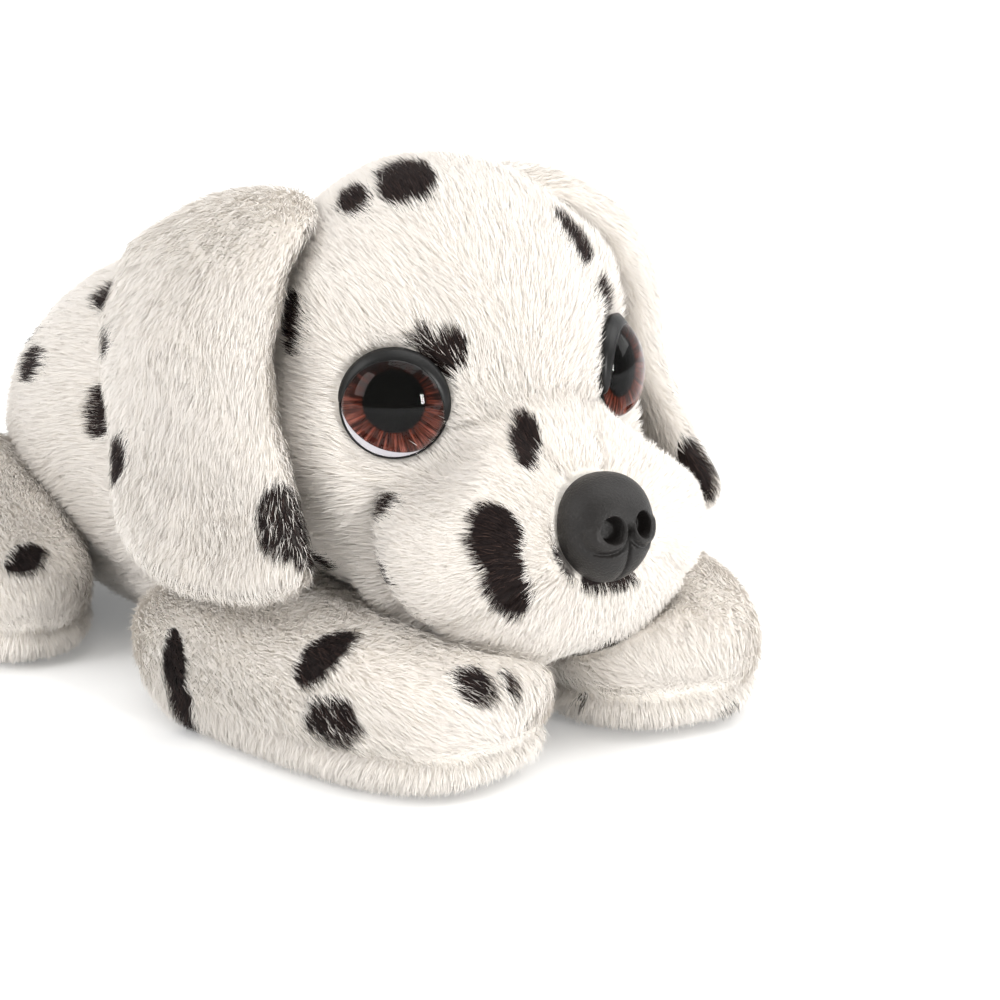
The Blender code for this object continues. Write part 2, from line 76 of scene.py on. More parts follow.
# Softboxes: azimuth and elevation in degrees, distance and size in metres, watts, colour.
SOFTBOXES = {
    "softbox_above": (35.0, 74.0, 1.2, (0.9, 0.9), 5.4, (1.0, 0.99, 0.97)),
    "softbox_front": (4.0, 11.0, 1.3, (0.14, 0.28), 7.5, (1.0, 0.99, 0.98)),
    "softbox_right": (62.0, 34.0, 1.3, (0.7, 0.7), 4.2, (1.0, 0.99, 0.98)),
    "softbox_left": (-95.0, 30.0, 1.4, (0.6, 0.9), 7.0, (1.0, 0.99, 0.98)),
}
LIT_PLACE = (0.0, -0.05, 0.06)

# The paper floor glows a little more away from the puppy, as a lit sweep does.
FLOOR_HALF_SIZE = 4.0
FLOOR_DROP = 0.0004
PAPER_GLOW = {"From Min": 0.22, "From Max": 0.9, "To Min": 0.14, "To Max": 0.65}


def direction_of(azimuth, elevation):
    a, e = math.radians(azimuth), math.radians(elevation)
    return Vector((math.sin(a) * math.cos(e), -math.cos(a) * math.cos(e), math.sin(e)))


def make_camera():
    lens = bpy.data.cameras.new("camera")
    lens.lens = LENS
    lens.clip_start = 0.05
    lens.clip_end = 20.0
    camera = bpy.data.objects.new("camera", lens)
    bpy.context.scene.collection.objects.link(camera)
    away = direction_of(VIEW_AZIMUTH, VIEW_ELEVATION)
    camera.location = (Vector(LOOK_AT) + away * VIEW_DISTANCE) * MM
    camera.rotation_euler = away.to_track_quat("Z", "Y").to_euler()
    bpy.context.scene.camera = camera


def area_light(name, azimuth, elevation, distance, size, watts, colour):
    lamp = bpy.data.lights.new(name, "AREA")
    lamp.shape = "RECTANGLE"
    lamp.size, lamp.size_y = size
    lamp.energy = watts
    lamp.color = colour
    holder = bpy.data.objects.new(name, lamp)
    bpy.context.scene.collection.objects.link(holder)
    away = direction_of(azimuth, elevation)
    holder.location = Vector(LIT_PLACE) + away * distance
    holder.rotation_euler = away.to_track_quat("Z", "Y").to_euler()


def make_light():
    world = bpy.data.worlds.new("studio")
    bpy.context.scene.world = world
    world.use_nodes = True
    tree = world.node_tree
    background = tree.nodes["Background"]
    background.inputs["Strength"].default_value = 1.0
    towards = tree.nodes.new("ShaderNodeVectorMath")
    towards.operation = "DOT_PRODUCT"
    towards.inputs[1].default_value = SWEEP_TOWARDS
    place = tree.nodes.new("ShaderNodeTexCoord")
    tree.links.new(place.outputs["Generated"], towards.inputs[0])
    band = tree.nodes.new("ShaderNodeValToRGB")
    band.color_ramp.elements[0].position = 0.0
    band.color_ramp.elements[0].color = ROOM_TONE
    band.color_ramp.elements[1].position = SWEEP_FULL
    band.color_ramp.elements[1].color = SWEEP_TONE
    tree.links.new(towards.outputs["Value"], band.inputs["Fac"])
    tree.links.new(band.outputs["Color"], background.inputs["Color"])
    for name, settings in SOFTBOXES.items():
        area_light(name, *settings)
    bpy.context.scene.view_settings.view_transform = "Standard"


def make_floor():
    mesh = bpy.data.meshes.new("floor")
    bm = bmesh.new()
    bmesh.ops.create_grid(bm, x_segments=1, y_segments=1, size=FLOOR_HALF_SIZE)
    bm.to_mesh(mesh)
    bm.free()
    floor = bpy.data.objects.new("floor", mesh)
    bpy.context.scene.collection.objects.link(floor)
    floor.location.z = -FLOOR_DROP
    paper = bpy.data.materials.new("studio_paper")
    paper.use_nodes = True
    shader = paper.node_tree.nodes["Principled BSDF"]
    shader.inputs["Base Color"].default_value = (0.93, 0.93, 0.93, 1.0)
    shader.inputs["Roughness"].default_value = 0.6
    shader.inputs["Specular IOR Level"].default_value = 0.0
    shader.inputs["Emission Color"].default_value = (0.95, 0.98, 1.0, 1.0)
    tree = paper.node_tree
    place = tree.nodes.new("ShaderNodeTexCoord")
    far = tree.nodes.new("ShaderNodeVectorMath")
    far.operation = "LENGTH"
    tree.links.new(place.outputs["Object"], far.inputs[0])
    glow = tree.nodes.new("ShaderNodeMapRange")
    for socket, value in PAPER_GLOW.items():
        glow.inputs[socket].default_value = value
    tree.links.new(far.outputs["Value"], glow.inputs["Value"])
    tree.links.new(glow.outputs["Result"], shader.inputs["Emission Strength"])
    mesh.materials.append(paper)


# ---------------------------------------------------------------- vector helpers

def unit(vectors):
    return vectors / np.maximum(np.linalg.norm(vectors, axis=-1, keepdims=True), 1e-9)


def smooth_step(value, low, high):
    t = np.clip((value - low) / (high - low), 0.0, 1.0)
    return t * t * (3.0 - 2.0 * t)


def soft_noise(points, scale, seed=0.0):
    """A smooth, repeatable noise from -1 to 1, made of a few crossed waves."""
    p = points / scale
    total = np.zeros(len(p))
    for k in range(6):
        angle = 1.7 * k + 0.37 + seed
        wave = np.array([math.cos(angle), math.sin(angle * 1.3 + 0.5), math.cos(angle * 0.7 + 2.0)])
        total += np.sin(p @ wave * (1.0 + 0.37 * k) + 2.3 * k + 5.1 * seed)
    return total / 4.0


# ---------------------------------------------------------------- the soft forms

BLEND = 9.0  # how sharply the lobes of one form meet
FINE = 7  # subdivisions of the ball that each skin is drawn from
FINE_TAIL = 6
SKULL_CENTRE = np.array((0.0, -80.0, 96.0))
HEAD_HEART = np.array((0.0, -108.0, 65.0))
HEAD_LOBES = [
    ((0.0, -80.0, 100.0), (51.0, 49.5, 53.0)),
    ((0.0, -125.0, 60.0), (40.0, 31.0, 35.0)),
    ((15.0, -122.0, 53.0), (32.0, 33.0, 31.0)),
    ((-15.0, -122.0, 53.0), (32.0, 33.0, 31.0)),
    ((18.0, -93.0, 68.0), (37.0, 34.0, 33.0)),
    ((-18.0, -93.0, 68.0), (37.0, 34.0, 33.0)),
]
TORSO_HEART = np.array((0.0, -2.0, 48.0))
TORSO_LOBES = [
    ((0.0, 46.0, 50.0), (64.0, 77.0, 58.0)),
    ((0.0, 14.0, 46.0), (62.0, 64.0, 53.0)),
    ((0.0, -10.0, 40.0), (60.0, 42.0, 46.0)),
    ((0.0, -24.0, 36.0), (26.0, 44.0, 37.0)),
]


def reach(heart, lobes, directions):
    """How far a form's surface is from its inner point, in each direction."""
    total = np.zeros(len(directions))
    for centre, radii in lobes:
        start = (heart - np.array(centre)) / np.array(radii)
        step = directions / np.array(radii)
        a = (step * step).sum(axis=1)
        b = step @ start
        c = start @ start - 1.0
        total += ((-b + np.sqrt(b * b - a * c)) / a) ** BLEND
    return total ** (1.0 / BLEND)


def ball(level):
    """The points and faces of an even ball, to be drawn out to a form."""
    bm = bmesh.new()
    bmesh.ops.create_icosphere(bm, subdivisions=level, radius=1.0)
    points = np.array([v.co for v in bm.verts])
    faces = np.array([[v.index for v in f.verts] for f in bm.faces])
    bm.free()
    return unit(points), faces


def add_mesh(name, points, faces, materials):
    mesh = bpy.data.meshes.new(name)
    mesh.vertices.add(len(points))
    mesh.vertices.foreach_set("co", (np.asarray(points) * MM).ravel())
    mesh.loops.add(faces.size)
    mesh.loops.foreach_set("vertex_index", faces.ravel())
    mesh.polygons.add(len(faces))
    mesh.polygons.foreach_set("loop_start", np.arange(len(faces)) * faces.shape[1])
    mesh.update(calc_edges=True)
    mesh.shade_smooth()
    for made in materials:
        mesh.materials.append(made)
    thing = bpy.data.objects.new(name, mesh)
    bpy.context.scene.collection.objects.link(thing)
    return thing


def point_normals(points, faces):
    corners = points[faces]
    flat = np.cross(corners[:, 1] - corners[:, 0], corners[:, 2] - corners[:, 0])
    total = np.zeros_like(points)
    for k in range(3):
        np.add.at(total, faces[:, k], flat)
    return unit(total)


# Eyes and nose, on the places that the CAD gives them.

def middle_of(node):
    low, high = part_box(node)
    return (np.array(low) + np.array(high)) * 0.5 / MM


EYE_YAW = 37.0
EYE_PITCH = 6.0
EYE_RADIUS = 14.0
NOSE_PITCH = 10.0
NOSE_SEAT_RADIUS = 14.5
WASHER_TO_BASE = 4.7
SEATS = []  # the middle, direction and radius of each plastic part's flat seat: eyes, then nose


def facing(yaw, pitch):
    y, p = math.radians(yaw), math.radians(pitch)
    return np.array((math.sin(y) * math.cos(p), -math.cos(y) * math.cos(p), math.sin(p)))


def find_seats():
    for side, sign in SIDES.items():
        out = facing(sign * EYE_YAW, EYE_PITCH)
        SEATS.append((middle_of(f"eye_washer_{side}") + out * WASHER_TO_BASE, out, EYE_RADIUS + 0.5))
    out = facing(0.0, NOSE_PITCH)
    SEATS.append((middle_of("nose_washer") + out * WASHER_TO_BASE, out, NOSE_SEAT_RADIUS))


def head_turn_tip(points):
    """Angles about the heart: round the muzzle from the top, and back from the nose."""
    away = points - HEAD_HEART
    turn = np.degrees(np.arctan2(away[:, 0], away[:, 2]))
    tip = np.degrees(np.arccos(np.clip(-away[:, 1] / np.linalg.norm(away, axis=1), -1.0, 1.0)))
    return turn, tip


def relaxed(points, faces, rounds):
    """The same skin with its small steps smoothed away."""
    start = np.concatenate([faces[:, 0], faces[:, 1], faces[:, 2]])
    end = np.concatenate([faces[:, 1], faces[:, 2], faces[:, 0]])
    number = np.bincount(start, minlength=len(points))[:, None]
    for _ in range(rounds):
        near = np.stack([np.bincount(start, weights=points[end, k], minlength=len(points))
                         for k in range(3)], axis=1)
        points = 0.4 * points + 0.6 * near / number
    return points


def groove(distance, width, depth):
    return depth * np.exp(-((distance / width) ** 2))


# Puffs on one side of the head (place, spread, height): over and behind the eye, the jowls, the chin.
HEAD_PUFFS = [
    ((42.0, -99.0, 117.0), 15.0, 6.0),
    ((49.0, -92.0, 88.0), 16.0, 5.0),
    ((38.0, -133.0, 58.0), 17.0, 4.6),
    ((30.0, -145.0, 60.0), 17.0, 3.0),
    ((15.0, -143.0, 33.0), 14.0, 3.0),
]
BROW_CREASE = (25.0, -112.0, 117.0)
STRIP_TURN = 27.0
CHIN_TURN = 122.0
# The muzzle's sewn edge, in degrees round the muzzle and back from the nose: from the bridge,
# under the eye, and down behind the jowl.
MUZZLE_EDGE_TURN = (20.0, 37.0, 46.0, 57.0, 68.0, 79.0, 92.0, 102.0, 120.0, 140.0)
MUZZLE_EDGE_TIP = (46.0, 55.0, 62.0, 69.0, 75.0, 80.0, 80.0, 76.0, 67.0, 58.0)


def head_skin():
    directions, faces = ball(FINE)
    radius = reach(HEAD_HEART, HEAD_LOBES, directions) - PILE
    points = HEAD_HEART + directions * radius[:, None]
    turn, tip = head_turn_tip(points)
    level = np.abs(turn)
    grow = np.zeros(len(points))
    for sign in SIDES.values():
        for spot, spread, height in HEAD_PUFFS:
            away = points - np.array((sign * spot[0], spot[1], spot[2]))
            grow += height * np.exp(-(away * away).sum(axis=1) / spread**2)
        crease = np.abs(points - np.array((sign * BROW_CREASE[0], BROW_CREASE[1], BROW_CREASE[2])))
        grow -= 2.2 * np.exp(-((crease[:, 0] / 4.5) ** 2) - (crease[:, 1] / 14.0) ** 2
                             - (crease[:, 2] / 13.0) ** 2)
    # Sewn seams: the bridge strip's two sides, the muzzle's edge, and the chin panel's two sides.
    strip = (level - STRIP_TURN) * np.radians(1.0) * 32.0
    grow -= groove(strip, 2.4, 1.6) * smooth_step(70.0 - tip, 0.0, 10.0) * smooth_step(tip, 12.0, 20.0)
    edge = (tip - np.interp(level, MUZZLE_EDGE_TURN, MUZZLE_EDGE_TIP)) * np.radians(1.0) * 47.0
    grow -= groove(edge, 4.0, 1.2) * smooth_step(level, 20.0, 34.0) * smooth_step(78.0 - level, 0.0, 14.0)
    grow -= groove(edge, 5.0, 6.0) * smooth_step(level, 66.0, 82.0) * smooth_step(140.0 - level, 0.0, 20.0)
    chin = (level - CHIN_TURN) * np.radians(1.0) * 44.0
    grow -= groove(chin, 2.4, 1.4) * smooth_step(tip, 18.0, 30.0)
    grow += 0.5 * soft_noise(points, 9.0)
    points = points + directions * grow[:, None]
    # Press a flat seat in for each eye and the nose, fading out round it.
    for centre, out, radius in SEATS:
        away = points - centre
        height = away @ out
        aside = np.linalg.norm(away - height[:, None] * out, axis=1)
        allowed = 0.55 * np.maximum(aside - radius, 0.0) - 0.8
        back = np.where((height > allowed) & (height > -20.0), height - allowed, 0.0)
        back *= smooth_step(2.2 * radius - aside, 0.0, 0.8 * radius)
        points = points - back[:, None] * out
    return points, faces


# ---------------------------------------------------------------- materials

def principled(name, colour, roughness, **more):
    """A plain material, with any further shader inputs by name (underscores for spaces)."""
    made = bpy.data.materials.new(name)
    made.use_nodes = True
    shader = made.node_tree.nodes["Principled BSDF"]
    shader.inputs["Base Color"].default_value = (*colour, 1.0)
    shader.inputs["Roughness"].default_value = roughness
    for key, value in more.items():
        shader.inputs[key.replace("_", " ")].default_value = value
    return made


def node(tree, kind, **settings):
    made = tree.nodes.new(kind)
    for key, value in settings.items():
        setattr(made, key, value)
    return made


def math_node(tree, operation, first, second=None):
    made = node(tree, "ShaderNodeMath", operation=operation)
    for k, value in enumerate((first, second)):
        if value is None:
            continue
        if isinstance(value, (int, float)):
            made.inputs[k].default_value = value
        else:
            tree.links.new(value, made.inputs[k])
    return made.outputs[0]


def length_node(tree, x, y):
    squares = [math_node(tree, "MULTIPLY", value, value) for value in (x, y)]
    return math_node(tree, "SQRT", math_node(tree, "ADD", *squares))


def ramp(tree, value, stops):
    made = node(tree, "ShaderNodeValToRGB")
    band = made.color_ramp
    while len(band.elements) < len(stops):
        band.elements.new(0.5)
    for element, (place, colour) in zip(band.elements, stops):
        element.position = place
        element.color = (*colour, 1.0)
    tree.links.new(value, made.inputs["Fac"])
    return made.outputs["Color"]


def mottled(name, light, dark, scale, roughness, bump, grain, **more):
    """A material whose colour drifts between two tones, over a fine grain."""
    made = principled(name, light, roughness, **more)
    tree = made.node_tree
    shader = tree.nodes["Principled BSDF"]
    place = node(tree, "ShaderNodeTexCoord").outputs["Object"]
    drift = node(tree, "ShaderNodeTexNoise")
    drift.inputs["Scale"].default_value = scale
    drift.inputs["Detail"].default_value = 4.0
    tree.links.new(place, drift.inputs["Vector"])
    colour = ramp(tree, drift.outputs["Fac"], [(0.3, dark), (0.7, light)])
    tree.links.new(colour, shader.inputs["Base Color"])
    fine = node(tree, "ShaderNodeTexNoise")
    fine.inputs["Scale"].default_value = grain
    fine.inputs["Detail"].default_value = 3.0
    tree.links.new(place, fine.inputs["Vector"])
    raised = node(tree, "ShaderNodeBump")
    raised.inputs["Strength"].default_value = bump
    raised.inputs["Distance"].default_value = 0.0004
    tree.links.new(fine.outputs["Fac"], raised.inputs["Height"])
    tree.links.new(raised.outputs["Normal"], shader.inputs["Normal"])
    return made


# ---------------------------------------------------------------- fur

rng = np.random.default_rng(11)

PIECE_STRANDS = 60000  # the most in one piece
TUFT_SIZE = 2.6
PILE = 3.2  # how deep the skin lies under the plush's outer surface
WHITE_TONES = [(0.935, 0.892, 0.842), (0.915, 0.868, 0.81), (0.88, 0.825, 0.76)]
DARK_TONES = [(0.011, 0.006, 0.006), (0.022, 0.012, 0.010), (0.055, 0.032, 0.026)]
WHITE_SHARES = (0.62, 0.30, 0.08)
DARK_SHARES = (0.60, 0.30, 0.10)


def strand_materials():
    made = []
    for k, tone in enumerate(WHITE_TONES):
        made.append(principled(f"white_pile_{k}", tone, 0.85, Specular_IOR_Level=0.15, Sheen_Weight=0.2))
    for k, tone in enumerate(DARK_TONES):
        made.append(principled(f"dark_pile_{k}", tone, 0.6, Specular_IOR_Level=0.2))
    return made


def in_spots(points, spots, skin):
    """How surely each point is dark, from 0 to 1, from ellipses laid on the nearest skin."""
    sure = np.zeros(len(points))
    for place, along, size, solid in spots:
        centre = skin[np.argmin(np.linalg.norm(skin - np.array(place), axis=1))]
        long_way = unit(np.array(along, float))
        away = points - centre
        lengthways = away @ long_way
        rest = np.linalg.norm(away - lengthways[:, None] * long_way, axis=1)
        edge = (lengthways / size[0]) ** 2 + (rest / size[1]) ** 2
        edge += 0.26 * soft_noise(points, 3.0, seed=place[0] * 0.1)
        sure = np.maximum(sure, solid * smooth_step(1.12 - edge, 0.0, 0.22))
    return sure


def furred_area(points, faces, keep):
    """The area of each face of a skin, less where no fur is kept."""
    corners = points[faces]
    crossed = np.cross(corners[:, 1] - corners[:, 0], corners[:, 2] - corners[:, 0])
    area = 0.5 * np.linalg.norm(crossed, axis=1)
    if keep is not None:
        area = area * keep(corners.mean(axis=1))
    return area


def scatter(points, faces, normals, count, area):
    """Even random places on a skin: their points and normals."""
    pick = rng.choice(len(faces), size=count, p=area / area.sum())
    a, b = rng.random(count), rng.random(count)
    flip = a + b > 1.0
    a[flip], b[flip] = 1.0 - a[flip], 1.0 - b[flip]
    weights = np.stack([1.0 - a - b, a, b], axis=1)[:, :, None]
    return (points[faces[pick]] * weights).sum(axis=1), unit((normals[faces[pick]] * weights).sum(axis=1))


def mark_spots(cover, points, spots):
    """Stores on a skin how dark the plush is under its pile."""
    darkness = cover.data.attributes.new("spot", "FLOAT", "POINT")
    darkness.data.foreach_set("value", np.clip(in_spots(points, spots, points) * 1.2 - 0.1, 0.0, 1.0))


def backing_material():
    """The woven backing seen between the hairs: cream, or nearly black under a spot."""
    made = mottled("plush_backing", (0.90, 0.86, 0.80), (0.84, 0.79, 0.72), 60.0, 0.95, 0.6, 900.0,
                   Sheen_Weight=0.3, Specular_IOR_Level=0.1)
    tree = made.node_tree
    shader = tree.nodes["Principled BSDF"]
    pale = shader.inputs["Base Color"].links[0].from_socket
    spot = node(tree, "ShaderNodeAttribute", attribute_name="spot")
    both = node(tree, "ShaderNodeMix", data_type="RGBA")
    tree.links.new(spot.outputs["Fac"], both.inputs["Factor"])
    tree.links.new(pale, both.inputs[6])
    both.inputs[7].default_value = (0.014, 0.008, 0.007, 1.0)
    tree.links.new(both.outputs[2], shader.inputs["Base Color"])
    return made


STRAND_LIFT = (38.0, 10.0)  # degrees off the skin: the lower half of a strand, then the upper
STRAND_WIDTH = 0.17


def grow_fur(name, body, skin, density, length, flow, spots, materials, keep):
    """Tapered, curved strands of pile, rooted in a skin and laid along its flow."""
    points, faces = skin
    normals = point_normals(points, faces)
    area = furred_area(points, faces, keep)
    count = int(area.sum() * density)
    root, normal = scatter(points, faces, normals, count, area)
    along = flow(root, normal)
    swirl = np.stack([soft_noise(root, 11.0, seed=0.3 + k) for k in range(3)], axis=1)
    along = along + 0.34 * swirl + rng.normal(0.0, 0.14, (count, 3))
    along = unit(along - (along * normal).sum(axis=1)[:, None] * normal)
    size = length(root) if callable(length) else np.full(count, length)
    size = size * rng.uniform(0.72, 1.12, count)
    first = np.radians(STRAND_LIFT[0] + rng.normal(0.0, 9.0, count))[:, None]
    second = np.radians(STRAND_LIFT[1] + rng.normal(0.0, 11.0, count))[:, None]
    root = root - 0.4 * normal
    middle = root + (normal * np.sin(first) + along * np.cos(first)) * size[:, None] * 0.5
    tip = middle + (normal * np.sin(second) + along * np.cos(second)) * size[:, None] * 0.5
    # Tufts: the tips of neighbouring strands lean together.
    cell = np.floor((root + 0.8 * swirl) / TUFT_SIZE).astype(np.int64)
    _, tuft = np.unique(cell @ np.array([73856093, 19349663, 83492791]), return_inverse=True)
    number = np.bincount(tuft)
    centre = np.stack([np.bincount(tuft, weights=tip[:, k]) / number for k in range(3)], axis=1)[tuft]
    tip = tip + (centre - tip) * rng.uniform(0.05, 0.4, count)[:, None]
    tip[:, 2] = np.maximum(tip[:, 2], 0.3)
    middle[:, 2] = np.maximum(middle[:, 2], 0.3)
    rise = unit(tip - root)
    wide = unit(np.cross(rise, normal) + 0.55 * rng.normal(0.0, 1.0, (count, 1)) * normal)
    thick = (STRAND_WIDTH * rng.uniform(0.75, 1.25, count) * 0.5)[:, None]
    verts = np.stack([root - wide * thick, root + wide * thick, middle - wide * thick * 0.85,
                      middle + wide * thick * 0.85, tip], axis=1)
    facing_in = (np.cross(verts[:, 1] - verts[:, 0], verts[:, 2] - verts[:, 0]) * normal).sum(axis=1) < 0.0
    verts[facing_in] = verts[facing_in][:, [1, 0, 3, 2, 4]]
    shade = unit(normal * 1.1 + rise * 0.3 + rng.normal(0.0, 0.07, (count, 3)))
    dark = rng.random(count) < in_spots(root, spots, points)
    tone = np.where(dark, 3 + rng.choice(3, count, p=DARK_SHARES), rng.choice(3, count, p=WHITE_SHARES))
    for k in range(0, count, PIECE_STRANDS):
        part = slice(k, k + PIECE_STRANDS)
        add_strands(f"{name}_{k // PIECE_STRANDS}", body, verts[part], shade[part], tone[part], materials)


def attach(piece, body):
    """Any piece but an ear's rides its body; an ear's piece only has its placing baked into its points."""
    if not body.startswith("ear_"):
        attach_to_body(piece, body)
        return
    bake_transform(piece)


def add_strands(name, body, verts, shade, tone, materials):
    """Makes one piece of fur: each strand is a quad under a triangle, on five points."""
    count = len(verts)
    mesh = bpy.data.meshes.new(name)
    mesh.vertices.add(count * 5)
    mesh.vertices.foreach_set("co", (verts * MM).ravel())
    first = np.arange(count)[:, None] * 5
    mesh.loops.add(count * 7)
    mesh.loops.foreach_set("vertex_index", (first + np.array([0, 1, 3, 2, 2, 3, 4])).ravel())
    mesh.polygons.add(count * 2)
    starts = np.arange(count)[:, None] * 7 + np.array([0, 4])
    mesh.polygons.foreach_set("loop_start", starts.ravel())
    mesh.update(calc_edges=True)
    for made in materials:
        mesh.materials.append(made)
    mesh.polygons.foreach_set("material_index", np.repeat(tone, 2))
    mesh.shade_smooth()
    mesh.normals_split_custom_set_from_vertices(np.repeat(shade, 5, axis=0).tolist())
    pile = bpy.data.objects.new(name, mesh)
    bpy.context.scene.collection.objects.link(pile)
    attach(pile, body)


# ---------------------------------------------------------------- the other skins

def inside_head(points, clearance):
    away = points - HEAD_HEART
    far = np.linalg.norm(away, axis=1)
    return far < reach(HEAD_HEART, HEAD_LOBES, away / far[:, None]) + clearance


NECK_HOLLOW = 53.5  # radius of the hollow that the skull lies in


def torso_skin():
    directions, faces = ball(FINE)
    radius = reach(TORSO_HEART, TORSO_LOBES, directions) - PILE
    points = TORSO_HEART + directions * radius[:, None]
    for _ in range(120):
        near = np.linalg.norm(points - SKULL_CENTRE, axis=1) < NECK_HOLLOW
        points[near] -= directions[near] * 0.5
    turn = np.degrees(np.arctan2(points[:, 0], points[:, 2] - TORSO_HEART[2]))
    aside = np.abs(points[:, 0])
    grow = 0.9 * soft_noise(points, 16.0)
    grow -= groove(aside, 2.6, 1.6) * (points[:, 2] > 60.0)
    flank = (np.abs(turn) - 112.0) * np.radians(1.0) * 58.0
    grow -= groove(flank, 3.0, 1.8)
    points = relaxed(points + directions * grow[:, None], faces, 6)
    points[:, 2] = np.maximum(points[:, 2], 1.0)
    return points, faces


# Each leg's width and height go from the body to the paw.
FORELEG = {"centre": (47.0, -97.5), "slant": -17.0, "half_length": 66.0, "half_width": (27.0, 37.5),
           "top": (42.0, 43.0)}
HINDLEG = {"centre": (80.0, 52.0), "slant": 9.0, "half_length": 60.0, "half_width": (29.0, 26.0),
           "top": (62.0, 38.0)}
SOLE_HEIGHT = 11.0
LEG_WAIST = 20.0


def leg_skin(leg, sign, fore):
    directions, faces = ball(FINE)
    flat = np.hypot(directions[:, 0], directions[:, 1])
    cosine, sine = directions[:, 0] / np.maximum(flat, 1e-6), directions[:, 1] / np.maximum(flat, 1e-6)
    rise = directions[:, 2]
    ring = np.where(rise > 0.0, flat**0.75, flat**0.35)
    along = np.sign(sine) * np.abs(sine) ** 0.72 * ring
    across = np.sign(cosine) * np.abs(cosine) ** 0.72 * ring
    to_paw = 0.5 * (1.0 - along)
    width = leg["half_width"][0] + (leg["half_width"][1] - leg["half_width"][0]) * to_paw - PILE
    top = leg["top"][0] + (leg["top"][1] - leg["top"][0]) * to_paw - PILE
    z = LEG_WAIST + np.where(rise > 0.0, top - LEG_WAIST, -LEG_WAIST - 2.0) * np.abs(rise) ** 0.75
    lean = math.radians(leg["slant"])
    x, y = across * width, along * (leg["half_length"] - PILE)
    points = np.stack([leg["centre"][0] + x * math.cos(lean) - y * math.sin(lean),
                       leg["centre"][1] + x * math.sin(lean) + y * math.cos(lean),
                       np.maximum(z, 1.0)], axis=1)
    # The seam over the sole band, drawn in all round the paw, with a slight swell below it at the paw.
    outward = unit(np.stack([x / width, y / leg["half_length"], np.zeros(len(x))], axis=1))
    outward = np.stack([outward[:, 0] * math.cos(lean) - outward[:, 1] * math.sin(lean),
                        outward[:, 0] * math.sin(lean) + outward[:, 1] * math.cos(lean),
                        outward[:, 2]], axis=1)
    paw = smooth_step(to_paw, 0.45, 0.75)
    pull = groove(points[:, 2] - SOLE_HEIGHT - 1.0, 2.4, 2.4) * (0.12 + 0.88 * paw)
    swell = np.exp(-(((points[:, 2] - 5.5) / 4.5) ** 2)) * 0.5 * paw
    points -= outward * (pull - swell)[:, None] * (ring > 0.5)[:, None]
    points += 0.6 * soft_noise(points, 12.0, seed=0.7)[:, None] * directions
    if fore:
        for _ in range(90):
            hit = inside_head(points, 0.2) & (points[:, 2] > 1.0)
            if not hit.any():
                break
            points[hit, 2] -= 0.5
    points = relaxed(points, faces, 8)
    points[:, 2] = np.maximum(points[:, 2], 1.0)
    points[:, 0] *= sign
    return points, faces if sign > 0.0 else faces[:, ::-1].copy()


# Stations down the ear and the tail: x, y, z, and half the width there.
EAR_LINE = np.array([
    (31.0, -61.0, 143.0, 19.0),
    (46.0, -60.0, 141.0, 28.0),
    (60.0, -59.0, 129.0, 35.0),
    (68.0, -60.0, 109.0, 37.0),
    (70.5, -62.0, 90.0, 38.0),
    (73.0, -70.0, 72.0, 41.0),
    (76.0, -81.0, 57.0, 41.0),
    (82.0, -86.0, 47.0, 26.0),
])
EAR_TOE = 8.0
TAIL_LINE = np.array([
    (0.0, 122.0, 50.0, 12.5),
    (0.0, 146.0, 35.0, 12.0),
    (0.0, 168.0, 21.0, 10.5),
    (0.0, 184.0, 14.0, 8.0),
])


def along_line(line, place):
    """Smooth values along a list of stations, for places from 0 to 1."""
    steps = np.linspace(0.0, 1.0, len(line))
    weights = np.exp(-(((place[:, None] - steps) / (0.62 * steps[1])) ** 2))
    plain = np.stack([np.interp(place, steps, column) for column in line.T], axis=1)
    soft = (weights @ line) / weights.sum(axis=1, keepdims=True)
    return 0.5 * (plain + soft)


def ear_skin(sign):
    directions, faces = ball(FINE)
    u, v, w = directions.T
    rim = np.sqrt(np.maximum(1.0 - v * v, 1e-9))
    down = 0.5 * (1.0 + np.sign(v) * np.abs(v) ** 0.85)
    here = along_line(EAR_LINE, down)
    before = along_line(EAR_LINE, np.maximum(down - 0.05, 0.0))
    after = along_line(EAR_LINE, np.minimum(down + 0.05, 1.0))
    slope = unit((after - before)[:, [0, 2]])
    outward = np.stack([-slope[:, 1], np.zeros(len(down)), slope[:, 0]], axis=1)
    across = np.clip(u / rim, -1.0, 1.0)
    rounded = (1.0 - np.abs(v) ** 9) ** 0.45
    half = (here[:, 3] - 3.5 + 3.0 * smooth_step(down, 0.55, 0.85)) * rounded
    lift = -1.6 * across**2 - 3.4 + (3.8 + 2.2 * smooth_step(down, 0.3, 0.8)) * w / rim * rounded
    points = here[:, :3] + outward * lift[:, None]
    toe = np.radians(EAR_TOE * down)
    points[:, 0] += across * half * np.sin(toe)
    points[:, 1] += across * half * np.cos(toe)
    points += outward * (0.9 * soft_noise(points, 14.0, seed=1.9 + sign))[:, None]
    # The outer side is plump, and most so near the top, while the lining stays close to the cheek.
    plump = 3.5 * smooth_step(down, 0.05, 0.30)
    plump += 6.0 * smooth_step(down, 0.05, 0.25) * smooth_step(0.75 - down, 0.0, 0.35)
    points[:, 0] += plump * smooth_step(w / rim, -0.6, 1.0)
    for _ in range(40):
        hit = inside_head(points, 0.6)
        if not hit.any():
            break
        points[hit] += outward[hit] * 0.5
    points = relaxed(points, faces, 14)
    points[:, 0] *= sign
    turned = (np.cross(points[faces][:, 1] - points[faces][:, 0], points[faces][:, 2] - points[faces][:, 0])
              * (points[faces].mean(axis=1))).sum() < 0.0
    return points, faces[:, ::-1].copy() if turned else faces


